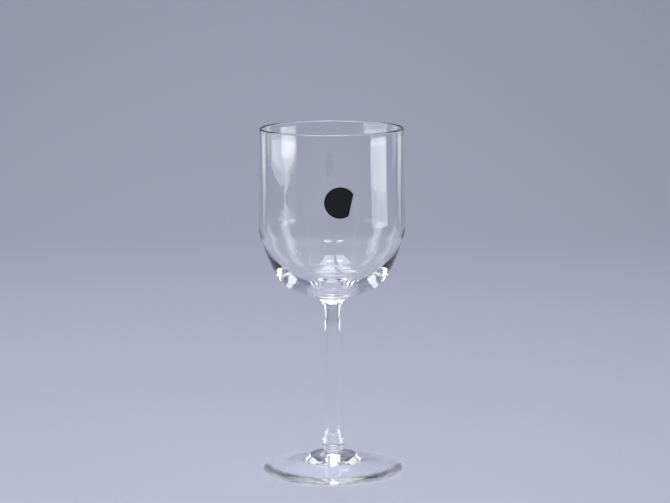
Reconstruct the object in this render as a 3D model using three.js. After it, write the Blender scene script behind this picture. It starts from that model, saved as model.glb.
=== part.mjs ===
// A stemmed dessert wine glass of clear glass: a round-bottomed bowl with a soft shoulder under a straight
// wall, a plain solid stem that flares under the bowl and ends in a small bead, a flat round foot with a low
// mound in its middle, and a small foil label on the wall of the bowl.
// Millimetres, +Z up. The origin is the middle of the foot's underside, on the table. The label faces -Y.

import * as THREE from "three";

// Foot, from the table up to its joint with the stem
const footRadius = 32.4;
const footHeight = 10.0;
const footEdgeHeight = 1.0;
const footEdgeRun = 5.9;
const footPlateHeight = 2.95;
const footPlateSlope = 8.5;
const restRingInset = 1.4;
const restRingWidth = 2.2;
const moundRadius = 14.0;
const moundBaseHeight = 4.7;
const moundBaseSlope = 12;
const moundWaistRadius = 11.9;
const moundWaistHeight = 6.4;
const moundWaistSlope = 52;
const moundTopRadius = 9.0;
const moundTopHeight = 8.3;
const moundTopSlope = 20;
const neckSlope = 85;
const hollowRadius = 13.0;
const hollowHeight = 2.2;
const hollowSlope = 10;
const hollowMiddleHeight = 4.2;
const undersideSlope = 4;

// Stem, from its joint with the foot up to its joint with the bowl
const stemLength = 71.0;
const stemRadius = 3.45;
const stemNeckRadius = 4.7;
const stemNeckHeight = 0.4;
const stemNeckSlope = 10;
const stemBeadRadius = 5.25;
const stemBeadHeight = 1.3;
const stemBeadFlareLength = 10.6;
const stemTaper = 2;
const stemBowlRadius = 6.75;
const stemBowlFlareLength = 16.0;
const stemBowlFlareSlope = 38;
const stemThroatRadius = 4.75;
const stemThroatDrop = 2.6;
const stemThroatSlope = 78;

// Bowl, from its joint with the stem up to the rim
const bowlHeight = 79.0;
const rimRadius = 33.0;
const rimThickness = 1.3;
const beltRadius = 33.6;
const beltHeight = 34.8;
const waistRadius = 32.2;
const waistHeight = 26.6;
const waistSlope = 72;
const underRadius = 11.0;
const underHeight = 1.75;
const underSlope = 8;
const wallThickness = 1.5;
const waistThickness = 1.7;
const baseThickness = 4.8;

// Label, a round foil sticker with one straight side, a little turned clockwise
const labelDiameter = 15.0;
const labelThickness = 0.15;
const labelGap = 0.05;
const labelHeight = 48.7;
const labelTurn = 6.3;
const labelTilt = 13;
const labelCut = 5.5;

// How finely the round forms are divided
const wideSegments = 56;
const stemSegments = 28;
const labelSectors = 32;
const labelRings = 4;

const degree = Math.PI / 180;

// A point of an outline, at a radius from the axis and a height.
const at = (radius, height) => new THREE.Vector2(radius, height);

// The point that lies a distance away from another one in a direction, in degrees from straight outwards.
function along(point, slope, distance) {
  return at(Math.cos(slope * degree), Math.sin(slope * degree)).multiplyScalar(distance).add(point);
}

// A smooth stretch of an outline between two points, with the direction of travel at each end. The pulls say
// how firmly each end keeps to its direction, as a share of the stretch's length. The last point is left to
// the next stretch.
function sweep(from, fromSlope, fromPull, to, toSlope, toPull, steps) {
  const length = from.distanceTo(to);
  const leave = along(from, fromSlope, fromPull * length);
  const reach = along(to, toSlope, -toPull * length);
  return new THREE.CubicBezierCurve(from, leave, reach, to).getPoints(steps).slice(0, -1);
}

// Half a circle over the top of the lip, from its outer to its inner side.
function lipArc(centre, radius, steps) {
  const arc = new THREE.EllipseCurve(centre.x, centre.y, radius, radius, 0, Math.PI);
  return arc.getPoints(steps).slice(0, -1);
}

// Turns an outline about the Z axis.
function turned(outline, segments) {
  return new THREE.LatheGeometry(outline, segments).rotateX(Math.PI / 2);
}

// The foot stands on a narrow flat ring near its edge. Its underside rises to a hollow middle, its edge is a
// soft nose, and its top rises evenly to a low mound with a short neck for the stem.
function footOutline() {
  const ringOuter = at(footRadius - restRingInset, 0);
  const ringInner = at(ringOuter.x - restRingWidth, 0);
  const nose = at(footRadius, footEdgeHeight);
  const plate = at(footRadius - footEdgeRun, footPlateHeight);
  const mound = at(moundRadius, moundBaseHeight);
  const moundWaist = at(moundWaistRadius, moundWaistHeight);
  const moundTop = at(moundTopRadius, moundTopHeight);
  const neck = at(stemNeckRadius, footHeight);
  const hollow = at(hollowRadius, hollowHeight);
  const plateSlope = 180 - footPlateSlope;
  const waistSlopeBack = 180 - moundWaistSlope;
  const topSlope = 180 - moundTopSlope;
  return [
    ...sweep(at(0, hollowMiddleHeight), 0, 0.3, hollow, -hollowSlope, 0.38, 6),
    ...sweep(hollow, -hollowSlope, 0.5, ringInner, -undersideSlope, 0.25, 5),
    ringInner,
    ...sweep(ringOuter, 0, 0.46, nose, 90, 0.35, 4),
    ...sweep(nose, 90, 0.14, plate, plateSlope, 0.51, 7),
    ...sweep(plate, plateSlope, 0.4, mound, plateSlope, 0.24, 4),
    ...sweep(mound, 180 - moundBaseSlope, 0.37, moundWaist, waistSlopeBack, 0.37, 4),
    ...sweep(moundWaist, waistSlopeBack, 0.43, moundTop, topSlope, 0.43, 4),
    ...sweep(moundTop, topSlope, 0.48, neck, 180 - neckSlope, 0.11, 5),
    neck,
    at(0, footHeight),
  ];
}

// The stem stands on the foot's neck with a small bead, tapers from the bead to the straight shaft, and
// flares again to the bowl: slowly at first, and fast above a throat just under the joint.
function stemOutline() {
  const neck = at(stemNeckRadius, stemNeckHeight);
  const bead = at(stemBeadRadius, stemBeadHeight);
  const shaftStart = at(stemRadius, stemBeadHeight + stemBeadFlareLength);
  const shaftEnd = at(stemRadius, stemLength - stemBowlFlareLength);
  const throat = at(stemThroatRadius, stemLength - stemThroatDrop);
  const bowlJoint = at(stemBowlRadius, stemLength);
  return [
    at(0, 0),
    at(stemNeckRadius, 0),
    ...sweep(neck, stemNeckSlope, 0.33, bead, 90 + stemTaper, 0.42, 4),
    ...sweep(bead, 90 + stemTaper, 0.27, shaftStart, 90 + stemTaper, 0.33, 7),
    shaftStart,
    ...sweep(shaftEnd, 90, 0.4, throat, stemThroatSlope, 0.3, 8),
    ...sweep(throat, stemThroatSlope, 0.42, bowlJoint, stemBowlFlareSlope, 0.25, 5),
    bowlJoint,
    at(0, stemLength),
  ];
}

// The outer side of the bowl: it goes on with the stem's flare, turns out into the round bottom, runs up to
// the waist, swells over the shoulder to the belt, and straightens to the lip.
function bowlOutside() {
  const joint = at(stemBowlRadius, 0);
  const under = at(underRadius, underHeight);
  const waist = at(waistRadius, waistHeight);
  const belt = at(beltRadius, beltHeight);
  const lip = at(rimRadius, bowlHeight - rimThickness / 2);
  return [
    ...sweep(joint, stemBowlFlareSlope, 0.35, under, underSlope, 0.3, 4),
    ...sweep(under, underSlope, 0.35, waist, waistSlope, 0.54, 12),
    ...sweep(waist, waistSlope, 0.55, belt, 90, 0.55, 7),
    ...sweep(belt, 90, 0.09, lip, 90, 0.78, 5),
  ];
}

// The inner side of the bowl, from the lip down to the middle of its floor. The thickness at the waist is
// measured square to the wall.
function bowlInside() {
  const lip = at(rimRadius - rimThickness, bowlHeight - rimThickness / 2);
  const belt = at(beltRadius - wallThickness, beltHeight);
  const waist = along(at(waistRadius, waistHeight), waistSlope + 90, waistThickness);
  const floor = at(0, baseThickness);
  return [
    ...sweep(lip, -90, 0.78, belt, -90, 0.09, 5),
    ...sweep(belt, -90, 0.55, waist, waistSlope - 180, 0.55, 6),
    ...sweep(waist, waistSlope - 180, 0.45, floor, 180, 0.45, 12),
    floor,
  ];
}

function bowlOutline() {
  const lipRadius = rimThickness / 2;
  const lipCentre = at(rimRadius - lipRadius, bowlHeight - lipRadius);
  return [at(0, 0), ...bowlOutside(), ...lipArc(lipCentre, lipRadius, 6), ...bowlInside()];
}

// The outer radius of the bowl at a height above its joint, read from its outline.
function wallRadius(height) {
  const outline = bowlOutside();
  const above = outline.findIndex((point) => point.y > height);
  if (above < 1) return rimRadius;
  const low = outline[above - 1];
  const high = outline[above];
  return THREE.MathUtils.mapLinear(height, low.y, high.y, low.x, high.x);
}

// A point of the label, from its own flat drawing to the wall of the bowl.
function onWall(across, up, lift) {
  const tilt = labelTilt * degree;
  const height = labelHeight - across * Math.sin(tilt) + up * Math.cos(tilt);
  const around = (across * Math.cos(tilt) + up * Math.sin(tilt)) / wallRadius(labelHeight);
  const out = wallRadius(height) + labelGap + lift;
  return [out * Math.sin(around), -out * Math.cos(around), height];
}

// The label is a thin disc with one side cut straight, wrapped on the wall. Its back and its front are the
// same rings of points around a middle point, and a strip joins their outer rings.
function labelGeometry() {
  const radius = labelDiameter / 2;
  const positions = [];
  const index = [];
  for (const lift of [0, labelThickness]) {
    positions.push(...onWall(0, 0, lift));
    for (let ring = 1; ring <= labelRings; ring += 1) {
      const share = ring / labelRings;
      for (let sector = 0; sector < labelSectors; sector += 1) {
        const angle = (2 * Math.PI * sector) / labelSectors;
        const across = Math.min(radius * Math.cos(angle), labelCut);
        positions.push(...onWall(across * share, radius * Math.sin(angle) * share, lift));
      }
    }
  }
  const faceSize = 1 + labelRings * labelSectors;
  const corner = (ring, sector) => 1 + (ring - 1) * labelSectors + (sector % labelSectors);
  for (let sector = 0; sector < labelSectors; sector += 1) {
    const triangles = [[0, corner(1, sector), corner(1, sector + 1)]];
    for (let ring = 1; ring < labelRings; ring += 1) {
      const inner = corner(ring, sector);
      const innerNext = corner(ring, sector + 1);
      const outer = corner(ring + 1, sector);
      const outerNext = corner(ring + 1, sector + 1);
      triangles.push([inner, outer, outerNext], [inner, outerNext, innerNext]);
    }
    for (const [a, b, c] of triangles) {
      index.push(a, c, b);
      index.push(faceSize + a, faceSize + b, faceSize + c);
    }
    const edge = corner(labelRings, sector);
    const edgeNext = corner(labelRings, sector + 1);
    index.push(faceSize + edge, edge, edgeNext, faceSize + edge, edgeNext, faceSize + edgeNext);
  }
  const geometry = new THREE.BufferGeometry();
  geometry.setAttribute("position", new THREE.Float32BufferAttribute(positions, 3));
  geometry.setIndex(index);
  geometry.computeVertexNormals();
  return geometry;
}

function named(name, geometry, material) {
  const mesh = new THREE.Mesh(geometry, material);
  mesh.name = name;
  return mesh;
}

const clearGlass = new THREE.MeshStandardMaterial({ color: 0xeef2f4, roughness: 0.03, metalness: 0 });
clearGlass.transparent = true;
clearGlass.opacity = 0.35;
const blackFoil = new THREE.MeshStandardMaterial({ color: 0x0b0b0d, roughness: 0.35, metalness: 0.2 });

const foot = named("foot", turned(footOutline(), wideSegments), clearGlass);
const stem = named("stem", turned(stemOutline(), stemSegments), clearGlass);
const bowl = named("bowl", turned(bowlOutline(), wideSegments), clearGlass);
const label = named("label", labelGeometry(), blackFoil);
label.rotation.z = labelTurn * degree;

// Each group stands on the joint below it.
const bowlGroup = new THREE.Group();
bowlGroup.position.z = stemLength;
bowlGroup.add(bowl, label);

const stemGroup = new THREE.Group();
stemGroup.position.z = footHeight;
stemGroup.add(stem, bowlGroup);

const wineGlass = new THREE.Group();
wineGlass.add(foot, stemGroup);

export default wineGlass;
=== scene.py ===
# %% [markdown]
# A dessert wine glass, from a CAD frame to a studio picture
#
# The real thing is clear glass all through: a round-bottomed bowl, a plain stem and a flat foot, worked one
# after the other on the same axis and fused while hot. A small foil sticker is stuck on its wall. The CAD model
# gives every size and place. It is faceted and plain, so each of its four nodes gets a fine smooth piece here,
# made at the same place, and a finish that bends and mirrors light as clear glass does.

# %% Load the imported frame
import math

import bpy
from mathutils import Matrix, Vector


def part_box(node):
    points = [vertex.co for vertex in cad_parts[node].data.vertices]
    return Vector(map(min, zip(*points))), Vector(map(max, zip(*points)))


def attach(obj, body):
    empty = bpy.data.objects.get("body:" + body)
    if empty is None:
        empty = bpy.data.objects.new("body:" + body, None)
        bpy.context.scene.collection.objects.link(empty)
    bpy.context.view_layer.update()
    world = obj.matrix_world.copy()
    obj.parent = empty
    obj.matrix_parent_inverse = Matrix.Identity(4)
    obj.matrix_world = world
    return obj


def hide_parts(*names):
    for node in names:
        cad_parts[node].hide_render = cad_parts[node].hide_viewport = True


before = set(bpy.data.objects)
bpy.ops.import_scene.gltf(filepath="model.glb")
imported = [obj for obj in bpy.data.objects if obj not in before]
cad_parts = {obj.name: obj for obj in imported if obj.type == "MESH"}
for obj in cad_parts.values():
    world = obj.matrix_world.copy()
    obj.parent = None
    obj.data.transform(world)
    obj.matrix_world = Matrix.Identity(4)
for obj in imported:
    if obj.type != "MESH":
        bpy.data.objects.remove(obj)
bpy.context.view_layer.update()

MM = 0.001
bpy.ops.object.select_all(action="DESELECT")

# %% [markdown]
# The camera
#
# A glass photographed from a step away, with a long lens, shows a rim and a foot of almost the same width and
# both as flat ellipses. The flatter ellipse of the rim and the rounder one of the foot give the camera's height,
# and their widths give its distance. The picture leans by a third of a degree, so the camera is rolled by as
# much.

# %% Camera
PICTURE_WIDTH = 670
FOCAL_LENGTH_PIXELS = 2400.0
AXIS_FROM_MIDDLE_PIXELS = 4.8
SENSOR_WIDTH = 36.0
CAMERA_DISTANCE = 1.091
CAMERA_HEIGHT = 0.273
CAMERA_PITCH = 8.87
CAMERA_ROLL = 0.29

bpy.ops.object.camera_add(
    location=(0, -CAMERA_DISTANCE, CAMERA_HEIGHT),
    rotation=(math.radians(90 - CAMERA_PITCH), math.radians(CAMERA_ROLL), 0),
)
camera = bpy.context.object
camera.data.sensor_width = SENSOR_WIDTH
camera.data.lens = FOCAL_LENGTH_PIXELS / PICTURE_WIDTH * SENSOR_WIDTH
camera.data.shift_x = AXIS_FROM_MIDDLE_PIXELS / PICTURE_WIDTH
bpy.context.scene.camera = camera
print("lens:", round(camera.data.lens, 1), "mm")

# %% [markdown]
# Drawing half a glass
#
# Everything on a wine glass that isn't the sticker is round about one axis, so half of its outline says all.
# A Bezier curve is the natural pencil for it: a few knots carry the sizes that count, and the handles on both
# sides of a knot carry the slope. Here a knot is written as radius and height in millimetres, with the slope in
# degrees from straight outwards and a pull, the handle's length as a share of the way to the next knot. Where a
# slope is left out, that side of the knot is straight.

# %% Outline from knots
def knot(radius, height, arrive=None, leave=None):
    """One point of an outline in mm, with (slope, pull) of the curve before and after it."""
    return {"at": (radius, height), "arrive": arrive, "leave": leave}


def handle(here, there, bend, way):
    """The end of a handle at here, on the side of there. way is 1 after a knot and -1 before it."""
    length = math.dist(here, there)
    if bend is None:
        return [a + (b - a) / 3 for a, b in zip(here, there)]
    slope, pull = bend
    reach = way * pull * length
    return [here[0] + reach * math.cos(math.radians(slope)), here[1] + reach * math.sin(math.radians(slope))]


def draw_half(name, knots, base, steps=24):
    """Draws one side of a turned piece as a Bezier curve above the height base, and makes it a mesh line."""
    def placed(radius, height):
        return (radius * MM, 0, base + height * MM)

    bpy.ops.object.select_all(action="DESELECT")
    bpy.ops.curve.primitive_bezier_curve_add()
    drawing = bpy.context.object
    drawing.name = name
    spline = drawing.data.splines[0]
    spline.resolution_u = steps
    spline.bezier_points.add(len(knots) - len(spline.bezier_points))
    for index, point in enumerate(spline.bezier_points):
        here = knots[index]["at"]
        before = knots[max(index - 1, 0)]["at"]
        after = knots[min(index + 1, len(knots) - 1)]["at"]
        point.handle_left_type = "FREE"
        point.handle_right_type = "FREE"
        point.co = placed(*here)
        point.handle_left = placed(*handle(here, before, knots[index]["arrive"], -1))
        point.handle_right = placed(*handle(here, after, knots[index]["leave"], 1))
    bpy.ops.object.convert(target="MESH")
    print(name, "outline:", len(knots), "knots,", len(drawing.data.vertices), "points")
    return drawing

# %% [markdown]
# Turning it
#
# Spin in edit mode turns the half outline all the way round, as a glass lathe would. It leaves a seam where it
# started and a bunch of points on the axis, so doubles are merged before the normals are made to point outwards.
# Clear glass shows every facet in its reflections, which is why the outline is spun in so many steps. Shading by
# angle keeps the few real corners, at the joints between the pieces, crisp.

# %% Spin the outline
TURNING_STEPS = 192
MERGE_DISTANCE = 0.002 * MM
CREASE = math.radians(30)


def turn(piece):
    """Spins a half outline about the Z axis into a closed body with outward faces."""
    bpy.ops.object.mode_set(mode="EDIT")
    bpy.ops.mesh.select_all(action="SELECT")
    bpy.ops.mesh.spin(steps=TURNING_STEPS, angle=math.tau, center=(0, 0, 0), axis=(0, 0, 1))
    bpy.ops.mesh.select_all(action="SELECT")
    bpy.ops.mesh.remove_doubles(threshold=MERGE_DISTANCE)
    bpy.ops.mesh.normals_make_consistent(inside=False)
    bpy.ops.object.mode_set(mode="OBJECT")
    bpy.ops.object.shade_smooth_by_angle(angle=CREASE)
    print(piece.name, "turned:", len(piece.data.polygons), "faces")
    return piece

# %% [markdown]
# The foot
#
# The foot is a plate of nearly even thickness. It falls from a low mound in the middle to a soft nose at the
# edge, touches the table only with a narrow ring just inside the nose, and is hollow under its middle. Top and
# underside run almost parallel, and that is what lets light through it: a foot with a flat underside would send
# the light sideways and look black.

# %% Foot
foot_low, foot_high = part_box("foot")
foot_radius = foot_high.x / MM
foot_height = foot_high.z / MM
neck_radius = 4.7
ring_outer = foot_radius - 1.4
ring_inner = ring_outer - 2.2

foot_knots = [
    knot(0, 4.2, leave=(0, 0.3)),
    knot(13.0, 2.2, arrive=(-10, 0.38), leave=(-10, 0.5)),
    knot(ring_inner, 0, arrive=(-4, 0.25)),
    knot(ring_outer, 0, leave=(0, 0.46)),
    knot(foot_radius, 1.0, arrive=(90, 0.35), leave=(90, 0.14)),
    knot(foot_radius - 5.9, 2.95, arrive=(171.5, 0.51), leave=(171.5, 0.4)),
    knot(14.0, 4.7, arrive=(171.5, 0.24), leave=(168, 0.37)),
    knot(11.9, 6.4, arrive=(128, 0.37), leave=(128, 0.43)),
    knot(9.0, 8.3, arrive=(160, 0.43), leave=(160, 0.48)),
    knot(neck_radius, foot_height, arrive=(95, 0.11)),
    knot(0, foot_height),
]
clear_foot = turn(draw_half("clear_foot", foot_knots, foot_low.z))

# %% [markdown]
# The stem
#
# The stem is a drawn rod. It starts on the foot's neck with a small rounded bead, tapers quickly to an even
# shaft and flares again under the bowl, where it was pulled out of the hot bottom. That flare is slow at first
# and turns out fast above a throat just under the joint, so the throat gets a knot of its own.

# %% Stem
stem_low, stem_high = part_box("stem")
stem_length = (stem_high.z - stem_low.z) / MM
stem_top_radius = stem_high.x / MM
stem_radius = 3.45
bead_radius = 5.25
bead_height = 1.3
throat_radius = 4.75
throat_drop = 2.6
flare_slope = 38

stem_knots = [
    knot(0, 0),
    knot(neck_radius, 0),
    knot(neck_radius, 0.4, leave=(10, 0.33)),
    knot(bead_radius, bead_height, arrive=(92, 0.42), leave=(92, 0.27)),
    knot(stem_radius, bead_height + 10.6, arrive=(92, 0.33)),
    knot(stem_radius, stem_length - 16.0, leave=(90, 0.4)),
    knot(throat_radius, stem_length - throat_drop, arrive=(78, 0.3), leave=(78, 0.42)),
    knot(stem_top_radius, stem_length, arrive=(flare_slope, 0.25)),
    knot(0, stem_length),
]
clear_stem = turn(draw_half("clear_stem", stem_knots, stem_low.z))

# %% [markdown]
# The bowl
#
# The bowl's outline goes up the outside, over the lip and down the inside. Its bottom is thick, the wall thins
# to the lip, and the soft shoulder a third of the way up shows on both sides of the wall. The lip is melted
# round, so it is half a circle, drawn with one knot at its top.

# %% Bowl
bowl_low, bowl_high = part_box("bowl")
bowl_height = (bowl_high.z - bowl_low.z) / MM
belt_radius = bowl_high.x / MM
belt_height = 34.8
rim_radius = 33.0
lip_radius = 0.65
lip_height = bowl_height - lip_radius
wall_thickness = 1.5
waist_radius = 32.2
waist_height = 26.6
waist_slope = 72
waist_thickness = 1.7
base_thickness = 4.8
ROUND_PULL = 0.39

square_to_wall = math.radians(waist_slope + 90)
inner_waist_radius = waist_radius + waist_thickness * math.cos(square_to_wall)
inner_waist_height = waist_height + waist_thickness * math.sin(square_to_wall)

bowl_knots = [
    knot(0, 0),
    knot(stem_top_radius, 0, leave=(flare_slope, 0.35)),
    knot(11.0, 1.75, arrive=(8, 0.3), leave=(8, 0.35)),
    knot(waist_radius, waist_height, arrive=(waist_slope, 0.54), leave=(waist_slope, 0.55)),
    knot(belt_radius, belt_height, arrive=(90, 0.55), leave=(90, 0.09)),
    knot(rim_radius, lip_height, arrive=(90, 0.78), leave=(90, ROUND_PULL)),
    knot(rim_radius - lip_radius, bowl_height, arrive=(180, ROUND_PULL), leave=(180, ROUND_PULL)),
    knot(rim_radius - 2 * lip_radius, lip_height, arrive=(270, ROUND_PULL), leave=(-90, 0.78)),
    knot(belt_radius - wall_thickness, belt_height, arrive=(-90, 0.09), leave=(-90, 0.55)),
    knot(inner_waist_radius, inner_waist_height, arrive=(waist_slope - 180, 0.55), leave=(waist_slope - 180, 0.45)),
    knot(0, base_thickness, arrive=(180, 0.45)),
]
clear_bowl = turn(draw_half("clear_bowl", bowl_knots, bowl_low.z, steps=26))

# %% [markdown]
# The sticker
#
# The sticker is a round piece of black foil with a fine silver edge. One side is cut straighter than the rest,
# and it was stuck on a little turned. A filled circle is cut along that side with bisect, its two new corners
# are rounded with a vertex bevel, and insets give it the silver border and then the rings of points that let
# it bend. Shrinkwrap lays it against the wall and Solidify gives it the foil's thickness.

# %% Sticker, flat
sticker_low, sticker_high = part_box("label")
sticker_middle = bowl_low.z + 48.7 * MM
sticker_turn = math.radians(6.3)
sticker_lean = math.radians(13)
sticker_radius = 7.5 * MM
sticker_cut = 5.5 * MM
corner_radius = 0.45 * MM
silver_border = 0.45 * MM
foil_thickness = 0.15 * MM
glue_gap = 0.05 * MM
bend_rings = 6

bpy.ops.object.select_all(action="DESELECT")
bpy.ops.mesh.primitive_circle_add(vertices=80, radius=sticker_radius, fill_type="NGON")
foil_label = bpy.context.object
foil_label.name = "foil_label"
bpy.ops.object.mode_set(mode="EDIT")
bpy.ops.mesh.select_all(action="SELECT")
bpy.ops.mesh.bisect(plane_co=(sticker_cut, 0, 0), plane_no=(1, 0, 0), use_fill=False, clear_outer=True)
bpy.ops.mesh.select_mode(type="VERT")
bpy.ops.mesh.select_all(action="DESELECT")
bpy.ops.object.mode_set(mode="OBJECT")
for vertex in foil_label.data.vertices:
    vertex.select = vertex.co.x > sticker_cut - 0.001 * MM
print("corners to round:", sum(vertex.select for vertex in foil_label.data.vertices))
bpy.ops.object.mode_set(mode="EDIT")
bpy.ops.mesh.bevel(offset=corner_radius, segments=4, affect="VERTICES")
bpy.ops.mesh.select_mode(type="FACE")
bpy.ops.mesh.select_all(action="SELECT")
print("sticker outline:", len(foil_label.data.vertices), "points")

# %% [markdown]
# Two finishes on one sticker
#
# A piece can carry several materials, one slot each. An inset leaves a narrow ring for the silver border, and
# the face inside it is extruded and shrunk again and again into rings that can bend. Everything then goes to the
# black slot, and the faces along the open edge, which is all that isn't manifold yet, go to the silver one.

# %% Sticker, border and rings
black_foil = bpy.data.materials.new("black foil")
silver_edge = bpy.data.materials.new("silver edge")
foil_label.data.materials.append(black_foil)
foil_label.data.materials.append(silver_edge)
bpy.ops.mesh.inset(thickness=silver_border)
for ring in range(bend_rings, 0, -1):
    share = ring / (ring + 1)
    bpy.ops.mesh.extrude_region_move()
    bpy.ops.transform.resize(value=(share, share, 1), center_override=(0, 0, 0))
bpy.ops.mesh.poke()
bpy.ops.mesh.select_all(action="SELECT")
foil_label.active_material_index = 0
bpy.ops.object.material_slot_assign()
bpy.ops.mesh.select_mode(type="EDGE")
bpy.ops.mesh.select_all(action="DESELECT")
bpy.ops.mesh.select_non_manifold()
bpy.ops.mesh.select_mode(use_expand=True, type="FACE")
foil_label.active_material_index = 1
bpy.ops.object.material_slot_assign()
bpy.ops.object.mode_set(mode="OBJECT")
print("sticker faces:", len(foil_label.data.polygons))

# %% Sticker, on the wall
bpy.ops.object.select_all(action="DESELECT")
foil_label.select_set(True)
bpy.context.view_layer.objects.active = foil_label
foil_label.rotation_euler = (0, 0, -sticker_lean)
bpy.ops.object.transform_apply(rotation=True)
foil_label.rotation_euler = (math.radians(90), 0, 0)
foil_label.location = (0, bowl_low.y - 10 * MM, sticker_middle)
bpy.ops.object.transform_apply(location=True, rotation=True)
wrap = foil_label.modifiers.new("lay on the wall", "SHRINKWRAP")
wrap.target = clear_bowl
wrap.wrap_method = "PROJECT"
wrap.wrap_mode = "ABOVE_SURFACE"
wrap.use_project_y = True
wrap.use_positive_direction = True
wrap.offset = glue_gap
bpy.ops.object.modifier_apply(modifier=wrap.name)
foil = foil_label.modifiers.new("foil thickness", "SOLIDIFY")
foil.thickness = foil_thickness
foil.offset = 1
bpy.ops.object.modifier_apply(modifier=foil.name)
foil_label.rotation_euler = (0, 0, sticker_turn)
bpy.ops.object.transform_apply(rotation=True)
bpy.ops.object.shade_smooth_by_angle(angle=CREASE)
print("sticker box in mm:", [[round(value / MM, 2) for value in corner] for corner in foil_label.bound_box][::6])
print("CAD label in mm:", [[round(value / MM, 2) for value in corner] for corner in (sticker_low, sticker_high)])

# %% [markdown]
# Joints that don't show
#
# The real pieces are fused, so light goes straight through their joints. Where the flat ends of two pieces meet
# here, glass on both sides would mirror and bend the light at a face that the real glass doesn't have. Those
# faces get a second slot with a Transparent shader, which lets every ray pass as it is.

# %% Joint faces
clear_glass = bpy.data.materials.new("clear glass")
fused_joint = bpy.data.materials.new("fused joint")
JOINT_TOLERANCE = 0.01 * MM


def finish_glass(piece, joint_heights):
    """Gives a piece the glass, and its flat ends at those heights the finish of a fused joint."""
    piece.data.materials.append(clear_glass)
    piece.data.materials.append(fused_joint)
    ends = 0
    for face in piece.data.polygons:
        flat = abs(face.normal.z) > 0.9999
        if flat and min(abs(face.center.z - height) for height in joint_heights) < JOINT_TOLERANCE:
            face.material_index = 1
            ends += 1
    print(piece.name, "faces in its joints:", ends)


finish_glass(clear_foot, [stem_low.z])
finish_glass(clear_stem, [stem_low.z, bowl_low.z])
finish_glass(clear_bowl, [bowl_low.z])

fused_joint.use_nodes = True
joint_nodes = fused_joint.node_tree.nodes
joint_nodes.clear()
joint_shader = joint_nodes.new("ShaderNodeBsdfTransparent")
joint_output = joint_nodes.new("ShaderNodeOutputMaterial")
fused_joint.node_tree.links.new(joint_shader.outputs[0], joint_output.inputs["Surface"])

# %% [markdown]
# Node helpers
#
# The finishes below are built from a few kinds of node again and again. Two short helpers place a node with its
# values and join two sockets, so that each finish reads as a list of what it is made of.

# %% Node helpers
def place(tree, kind, **values):
    """A new node, with its inputs set by name where they exist and its own settings otherwise."""
    node = tree.nodes.new(kind)
    for name, value in values.items():
        label = name.replace("_", " ").title()
        if label in node.inputs:
            node.inputs[label].default_value = value
        else:
            setattr(node, name, value)
    return node


def join(tree, start, end):
    """A link from an output to an input."""
    tree.links.new(start, end)

# %% [markdown]
# What makes clear glass look handled
#
# Clear glass has no colour to vary, so its finish is all in its surface. The wall of a blown bowl is drawn
# upwards while it is hot, which leaves fine upright lines in it, and the mould leaves faint rings at the
# shoulder. The whole surface also waves a little, which bends the edges of every reflection. On top lies a thin
# film from wiping, with upright streaks on the wall, and the edge of the foot is scratched by tables. All of them
# are measured in real metres on Object coordinates, and go into one group that puts out a roughness and a normal.
# They stay shallow, a few hundredths of a millimetre at most, because they also bend what is seen through them.

# %% Heights of the surface, one helper for each
def noise_height(tree, where, stretch, scale, detail):
    """Noise between 0 and 1 on Object coordinates that are stretched by a share along each axis."""
    mapping = place(tree, "ShaderNodeMapping", scale=stretch)
    noise = place(tree, "ShaderNodeTexNoise", scale=scale, detail=detail)
    join(tree, where.outputs["Object"], mapping.inputs["Vector"])
    join(tree, mapping.outputs["Vector"], noise.inputs["Vector"])
    return noise.outputs["Fac"]


def times(tree, *factors):
    """The product of outputs."""
    product = factors[0]
    for factor in factors[1:]:
        step = place(tree, "ShaderNodeMath", operation="MULTIPLY")
        join(tree, product, step.inputs[0])
        join(tree, factor, step.inputs[1])
        product = step.outputs["Value"]
    return product


def plus(tree, *terms):
    """The sum of outputs."""
    total = terms[0]
    for term in terms[1:]:
        step = place(tree, "ShaderNodeMath", operation="ADD")
        join(tree, total, step.inputs[0])
        join(tree, term, step.inputs[1])
        total = step.outputs["Value"]
    return total


def ramp(tree, value, start, end):
    """0 before start, 1 after end and even in between. Start may lie above end."""
    node = place(tree, "ShaderNodeMapRange", from_min=start, from_max=end)
    join(tree, value, node.inputs["Value"])
    return node.outputs["Result"]

# %% Group for the glass surface
UPRIGHT = (1, 1, 0.003)
LEVEL = (0, 0, 1)
EVEN = (1, 1, 1)
WAVES_PER_METRE = 45.0
LINES_PER_METRE = 400.0
RINGS_PER_METRE = 420.0
SMEARS_PER_METRE = 90.0
SCRATCHES_PER_METRE = 900.0
SHOULDER_LOW, SHOULDER_HIGH = 0.101, 0.121
RINGS_FADE = 0.004
TABLE_WEAR_TOP = 0.0022


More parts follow.
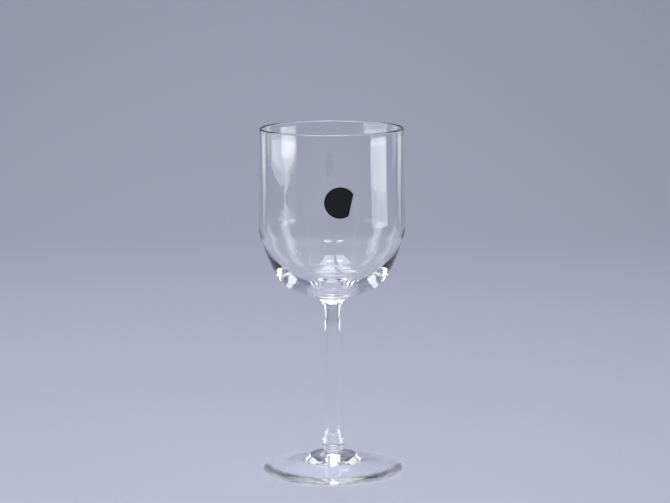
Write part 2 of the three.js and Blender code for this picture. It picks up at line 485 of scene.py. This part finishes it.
def glass_surface_group():
    """A shader group with the waves, drawn lines, mould rings, film, streaks and scratches of clear glass."""
    tree = bpy.data.node_groups.new("glass surface", "ShaderNodeTree")
    for name, value in (
        ("Wave Depth", 0.00001),
        ("Line Depth", 0.000012),
        ("Ring Depth", 0.000008),
        ("Scratch Depth", 0.00003),
        ("Film", 0.02),
        ("Streaks", 0.07),
        ("Wear", 0.3),
    ):
        socket = tree.interface.new_socket(name, in_out="INPUT", socket_type="NodeSocketFloat")
        socket.default_value = value
    tree.interface.new_socket("Roughness", in_out="OUTPUT", socket_type="NodeSocketFloat")
    tree.interface.new_socket("Normal", in_out="OUTPUT", socket_type="NodeSocketVector")
    inputs = tree.nodes.new("NodeGroupInput").outputs
    outputs = tree.nodes.new("NodeGroupOutput").inputs
    where = place(tree, "ShaderNodeTexCoord")
    axes = place(tree, "ShaderNodeSeparateXYZ")
    join(tree, where.outputs["Object"], axes.inputs["Vector"])
    height = axes.outputs["Z"]

    on_wall = ramp(tree, height, SHOULDER_LOW, SHOULDER_HIGH)
    below_wall = ramp(tree, height, SHOULDER_HIGH + RINGS_FADE, SHOULDER_HIGH)
    above_round = ramp(tree, height, SHOULDER_LOW - RINGS_FADE, SHOULDER_LOW)
    waves = times(tree, noise_height(tree, where, EVEN, WAVES_PER_METRE, 1.0), inputs["Wave Depth"])
    drawn = noise_height(tree, where, UPRIGHT, LINES_PER_METRE, 2.0)
    lines = times(tree, drawn, on_wall, inputs["Line Depth"])
    turned = noise_height(tree, where, LEVEL, RINGS_PER_METRE, 2.0)
    rings = times(tree, turned, below_wall, above_round, inputs["Ring Depth"])
    scratched = ramp(tree, noise_height(tree, where, EVEN, SCRATCHES_PER_METRE, 2.0), 0.55, 0.68)
    near_table = ramp(tree, height, TABLE_WEAR_TOP, 0.0)
    scratches = times(tree, scratched, near_table, inputs["Scratch Depth"])
    uneven = place(tree, "ShaderNodeBump", distance=1.0)
    join(tree, plus(tree, waves, lines, rings, scratches), uneven.inputs["Height"])
    join(tree, uneven.outputs["Normal"], outputs["Normal"])

    smeared = ramp(tree, noise_height(tree, where, EVEN, SMEARS_PER_METRE, 4.0), 0.45, 0.75)
    film = times(tree, smeared, inputs["Film"])
    streaks = times(tree, ramp(tree, drawn, 0.5, 0.62), on_wall, inputs["Streaks"])
    wear = times(tree, scratched, near_table, inputs["Wear"])
    join(tree, plus(tree, film, streaks, wear), outputs["Roughness"])
    return tree


glass_surface = glass_surface_group()
print("group", glass_surface.name, "has", len(glass_surface.nodes), "nodes")

# %% [markdown]
# The glass
#
# A Principled shader with full transmission bends and mirrors light by its index of refraction, 1.52 for plain
# soda-lime glass. Path tracing finds almost no way through curved glass from the floor to a lamp, so the glass
# would throw a black shadow. A Light Path node swaps it, for shadow rays alone, for a Transparent shader that
# lets most light through, as the real one does.

# %% Clear glass
GLASS_INDEX = 1.52
SHADOW_TINT = (0.8, 0.81, 0.83, 1)

clear_glass.use_nodes = True
tree = clear_glass.node_tree
glass = tree.nodes["Principled BSDF"]
glass.inputs["Transmission Weight"].default_value = 1.0
glass.inputs["IOR"].default_value = GLASS_INDEX
glass.inputs["Base Color"].default_value = (0.985, 0.992, 0.99, 1)
surface = place(tree, "ShaderNodeGroup", node_tree=glass_surface)
join(tree, surface.outputs["Roughness"], glass.inputs["Roughness"])
join(tree, surface.outputs["Normal"], glass.inputs["Normal"])
rays = place(tree, "ShaderNodeLightPath")
lets_light_pass = place(tree, "ShaderNodeBsdfTransparent", color=SHADOW_TINT)
either = place(tree, "ShaderNodeMixShader")
join(tree, rays.outputs["Is Shadow Ray"], either.inputs["Fac"])
join(tree, glass.outputs["BSDF"], either.inputs[1])
join(tree, lets_light_pass.outputs["BSDF"], either.inputs[2])
join(tree, either.outputs["Shader"], tree.nodes["Material Output"].inputs["Surface"])

# %% [markdown]
# A grain for foil and paper
#
# Lacquer, brushed metal and paper have little in common but a fine grain, which mottles their colour and, on the
# foil and the silver edge, makes some spots smoother than others. More than one material needs it, so it is a node
# group: built once, and placed in each material with its own fineness and its own two colours, and in the foil
# and the silver edge with its own two roughnesses too.

# %% Group for a fine grain
def fine_grain_group():
    """A shader group that mottles a finish, as a colour and a roughness that follow one noise."""
    tree = bpy.data.node_groups.new("fine grain", "ShaderNodeTree")
    for name, kind, value in (
        ("Scale", "NodeSocketFloat", 1000.0),
        ("Detail", "NodeSocketFloat", 2.0),
        ("Dark", "NodeSocketColor", (0.1, 0.1, 0.1, 1)),
        ("Light", "NodeSocketColor", (0.2, 0.2, 0.2, 1)),
        ("Smoothest", "NodeSocketFloat", 0.3),
        ("Roughest", "NodeSocketFloat", 0.5),
    ):
        socket = tree.interface.new_socket(name, in_out="INPUT", socket_type=kind)
        socket.default_value = value
    tree.interface.new_socket("Color", in_out="OUTPUT", socket_type="NodeSocketColor")
    tree.interface.new_socket("Roughness", in_out="OUTPUT", socket_type="NodeSocketFloat")
    inputs = tree.nodes.new("NodeGroupInput").outputs
    outputs = tree.nodes.new("NodeGroupOutput").inputs
    where = place(tree, "ShaderNodeTexCoord")
    grain = place(tree, "ShaderNodeTexNoise")
    join(tree, where.outputs["Object"], grain.inputs["Vector"])
    join(tree, inputs["Scale"], grain.inputs["Scale"])
    join(tree, inputs["Detail"], grain.inputs["Detail"])
    tone = place(tree, "ShaderNodeMix", data_type="RGBA")
    join(tree, grain.outputs["Fac"], tone.inputs[0])
    join(tree, inputs["Dark"], tone.inputs[6])
    join(tree, inputs["Light"], tone.inputs[7])
    join(tree, tone.outputs[2], outputs["Color"])
    rough = place(tree, "ShaderNodeMapRange")
    join(tree, grain.outputs["Fac"], rough.inputs["Value"])
    join(tree, inputs["Smoothest"], rough.inputs["To Min"])
    join(tree, inputs["Roughest"], rough.inputs["To Max"])
    join(tree, rough.outputs["Result"], outputs["Roughness"])
    return tree


fine_grain = fine_grain_group()
print("group", fine_grain.name, "has", len(fine_grain.nodes), "nodes")

# %% [markdown]
# The sticker's two finishes
#
# Black foil is a thin lacquered sheet. Pressed against a round wall it isn't quite flat, so it has faint creases.
# It has to stay black between bright panels, so it mirrors less than plain plastic, under a weak coat of gloss.
# The silver edge is the bare metal of the foil, slightly brushed.

# %% Black foil
black_foil.use_nodes = True
tree = black_foil.node_tree
foil_shader = tree.nodes["Principled BSDF"]
foil_shader.inputs["Specular IOR Level"].default_value = 0.25
foil_shader.inputs["Coat Weight"].default_value = 0.1
foil_shader.inputs["Coat Roughness"].default_value = 0.12
lacquer = place(
    tree, "ShaderNodeGroup", node_tree=fine_grain, scale=1800.0, detail=3.0,
    dark=(0.004, 0.004, 0.005, 1), light=(0.016, 0.016, 0.018, 1), smoothest=0.28, roughest=0.5,
)
join(tree, lacquer.outputs["Color"], foil_shader.inputs["Base Color"])
join(tree, lacquer.outputs["Roughness"], foil_shader.inputs["Roughness"])
where = place(tree, "ShaderNodeTexCoord")
creases = place(tree, "ShaderNodeTexNoise", scale=220.0, detail=2.0)
join(tree, where.outputs["Object"], creases.inputs["Vector"])
foil_bump = place(tree, "ShaderNodeBump", distance=0.00005)
join(tree, creases.outputs["Fac"], foil_bump.inputs["Height"])
join(tree, foil_bump.outputs["Normal"], foil_shader.inputs["Normal"])

# %% Silver edge
silver_edge.use_nodes = True
tree = silver_edge.node_tree
silver = tree.nodes["Principled BSDF"]
silver.inputs["Metallic"].default_value = 1.0
brushed = place(
    tree, "ShaderNodeGroup", node_tree=fine_grain, scale=2600.0, detail=2.0,
    dark=(0.6, 0.6, 0.61, 1), light=(0.85, 0.85, 0.84, 1), smoothest=0.38, roughest=0.6,
)
join(tree, brushed.outputs["Color"], silver.inputs["Base Color"])
join(tree, brushed.outputs["Roughness"], silver.inputs["Roughness"])

# %% [markdown]
# What each piece stands for
#
# Every piece rides on the one body of the part and stands for the CAD node in the same place.

# %% Ride and replace
for piece, node, finish in (
    (clear_foot, "foot", "clear_glass"),
    (clear_stem, "stem", "clear_glass"),
    (clear_bowl, "bowl", "clear_glass"),
    (foil_label, "label", "label_foil"),
):
    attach(piece, "root")
    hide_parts(node)
    print(piece.name, "stands for", node)

# %% [markdown]
# The table
#
# Clear glass is only as good as what shows through it. A sheet of plain pale blue paper lies under the glass and
# rises behind it in a wide curve, so that no edge crosses the picture.

# %% Paper sweep
SWEEP_HALF_WIDTH = 3.0
SWEEP_FRONT = -3.0
SWEEP_BACK = 1.25
SWEEP_TOP = 3.0
SWEEP_BEND = 0.55
PAPER_CLEARANCE = 0.02 * MM

bpy.ops.object.select_all(action="DESELECT")
bpy.ops.mesh.primitive_plane_add(size=1)
paper_sweep = bpy.context.object
paper_sweep.name = "paper_sweep"
paper_sweep.scale = (2 * SWEEP_HALF_WIDTH, SWEEP_BACK - SWEEP_FRONT, 1)
paper_sweep.location = (0, (SWEEP_BACK + SWEEP_FRONT) / 2, 0)
bpy.ops.object.transform_apply(location=True, scale=True)
bpy.ops.object.mode_set(mode="EDIT")
bpy.ops.mesh.select_mode(type="EDGE")
bpy.ops.mesh.select_all(action="DESELECT")
bpy.ops.object.mode_set(mode="OBJECT")
for edge in paper_sweep.data.edges:
    ends = [paper_sweep.data.vertices[index].co.y for index in edge.vertices]
    edge.select = min(ends) > SWEEP_BACK - 0.01
bpy.ops.object.mode_set(mode="EDIT")
bpy.ops.mesh.extrude_region_move(TRANSFORM_OT_translate={"value": (0, 0, SWEEP_TOP)})
bpy.ops.mesh.select_all(action="DESELECT")
bpy.ops.object.mode_set(mode="OBJECT")
for edge in paper_sweep.data.edges:
    middle = sum((paper_sweep.data.vertices[index].co for index in edge.vertices), start=Vector()) / 2
    edge.select = abs(middle.x) < 0.01 and abs(middle.y - SWEEP_BACK) < 0.01 and abs(middle.z) < 0.01
bpy.ops.object.mode_set(mode="EDIT")
bpy.ops.mesh.bevel(offset=SWEEP_BEND, segments=32)
bpy.ops.object.mode_set(mode="OBJECT")
bpy.ops.object.shade_smooth()
paper_sweep.location.z = -PAPER_CLEARANCE
print("sweep faces:", len(paper_sweep.data.polygons))

# %% Paper
PAPER_DARK = (0.42, 0.43, 0.53, 1)
PAPER_LIGHT = (0.47, 0.48, 0.58, 1)

pale_paper = bpy.data.materials.new("pale paper")
paper_sweep.data.materials.append(pale_paper)
pale_paper.use_nodes = True
tree = pale_paper.node_tree
paper = tree.nodes["Principled BSDF"]
paper.inputs["Roughness"].default_value = 0.9
paper.inputs["Specular IOR Level"].default_value = 0.2
fibres = place(
    tree, "ShaderNodeGroup", node_tree=fine_grain, scale=700.0, detail=4.0, dark=PAPER_DARK, light=PAPER_LIGHT
)
join(tree, fibres.outputs["Color"], paper.inputs["Base Color"])
print("paper from", PAPER_DARK[:3], "to", PAPER_LIGHT[:3])

# %% [markdown]
# The light
#
# Glass is lit by what it mirrors, and each surface picks its own part of the room. The upright walls mirror what
# stands low on the left and right, so long low panels give the bowl its two white strips, and the panels' lower
# edges decide how far down the wall the strips reach. The round bottom bends the light of taller panels beside
# and behind it into bright spots, and low cards close by draw the fine lines at the edges of the stem. In a
# studio, flags keep such side light off the table. Light linking does it here: each side light reaches only the
# pieces in its collection, and the paper stays even from every side. Two boxes overhead, with a gap between
# them, stand as a split fan in the rear of the bottom, and two narrow ones in front of them as a pair of bars
# above it. A lamp's power is worked out from how bright its face should be, so its size can change without its
# brightness.

# %% Flags, what each side light may reach
def reached(name, pieces):
    """A collection of the pieces that a flagged light reaches."""
    group = bpy.data.collections.new(name)
    for piece in pieces:
        group.objects.link(piece)
    return group


all_glass = reached("all glass", [clear_foot, clear_stem, clear_bowl])
stem_and_foot = reached("stem and foot", [clear_foot, clear_stem])

# %% Soft boxes
def side_panel(name, side, front, back, low, high, brightness, reaches):
    """An upright soft box that faces the glass from x = side, between its front and back edges in metres."""
    width, tall = back - front, high - low
    bpy.ops.object.light_add(
        type="AREA",
        location=(side, (front + back) / 2, (low + high) / 2),
        rotation=(math.radians(90), 0, math.copysign(math.radians(90), side)),
    )
    lamp = bpy.context.object
    lamp.name = name
    lamp.data.shape = "RECTANGLE"
    lamp.data.size = width
    lamp.data.size_y = tall
    lamp.data.energy = brightness * math.pi * width * tall
    lamp.light_linking.receiver_collection = reaches
    print(name, round(lamp.data.energy, 1), "W")


side_panel("left front panel", -0.96, -0.62, -0.16, 0.03, 0.08, 3.8, all_glass)
side_panel("left back panel", -0.96, -0.16, 0.35, 0.033, 0.08, 2.6, all_glass)
side_panel("right panel", 0.87, -0.43, 0.095, 0.028, 0.08, 3.6, all_glass)
side_panel("left upper panel", -0.9, -0.1, 0.16, 0.09, 0.8, 2.6, all_glass)
side_panel("right upper panel", 0.9, -0.1, 0.16, 0.09, 0.8, 2.6, all_glass)
side_panel("left rear panel", -0.6, 0.5, 1.1, 0.02, 0.5, 0.75, all_glass)
side_panel("right rear panel", 0.6, 0.5, 1.1, 0.02, 0.5, 0.75, all_glass)
side_panel("left low card", -0.36, -0.02, 0.3, 0.0, 0.045, 2.2, stem_and_foot)
side_panel("right low card", 0.36, -0.02, 0.3, 0.0, 0.045, 2.2, stem_and_foot)


def overhead_panel(name, left, right, front, back, brightness):
    """A soft box above the glass, from left to right, between the (y, z) of its front and back edges."""
    width, depth = right - left, math.dist(front, back)
    bpy.ops.object.light_add(
        type="AREA",
        location=((left + right) / 2, (front[0] + back[0]) / 2, (front[1] + back[1]) / 2),
        rotation=(math.atan2(back[1] - front[1], back[0] - front[0]), 0, 0),
    )
    lamp = bpy.context.object
    lamp.name = name
    lamp.data.shape = "RECTANGLE"
    lamp.data.size = width
    lamp.data.size_y = depth
    lamp.data.energy = brightness * math.pi * width * depth
    print(name, round(lamp.data.energy, 1), "W")


overhead_panel("overhead left", -0.47, -0.14, (-0.72, 1.4), (0.146, 1.08), 5.4)
overhead_panel("overhead right", -0.05, 0.28, (-0.72, 1.4), (0.146, 1.08), 5.4)
overhead_panel("front left", -0.547, -0.2, (-1.171, 1.1), (-0.979, 1.1), 9.0)
overhead_panel("front right", 0.0, 0.347, (-1.171, 1.1), (-0.979, 1.1), 9.0)
overhead_panel("rear left", -0.28, -0.11, (0.15, 1.08), (1.0, 0.75), 2.6)
overhead_panel("rear right", -0.05, 0.16, (0.15, 1.08), (1.0, 0.75), 2.6)

# %% Walls of the room
ROOM_COLOUR = (0.75, 0.78, 0.85, 1)
ROOM_STRENGTH = 0.48

world = bpy.data.worlds.new("studio")
bpy.context.scene.world = world
world.use_nodes = True
room = world.node_tree.nodes["Background"]
room.inputs["Color"].default_value = ROOM_COLOUR
room.inputs["Strength"].default_value = ROOM_STRENGTH
print("room strength:", ROOM_STRENGTH)

# %% [markdown]
# Rays enough for glass
#
# A ray through a bowl crosses four walls and may bounce inside the foot many times more. With too few bounces
# it ends black, so glass gets a generous count. The colours are kept plain, with no film look on top.

# %% Bounces and colour
scene = bpy.context.scene
scene.cycles.max_bounces = 32
scene.cycles.transmission_bounces = 32
scene.cycles.glossy_bounces = 12
scene.cycles.transparent_max_bounces = 32
scene.view_settings.view_transform = "Standard"
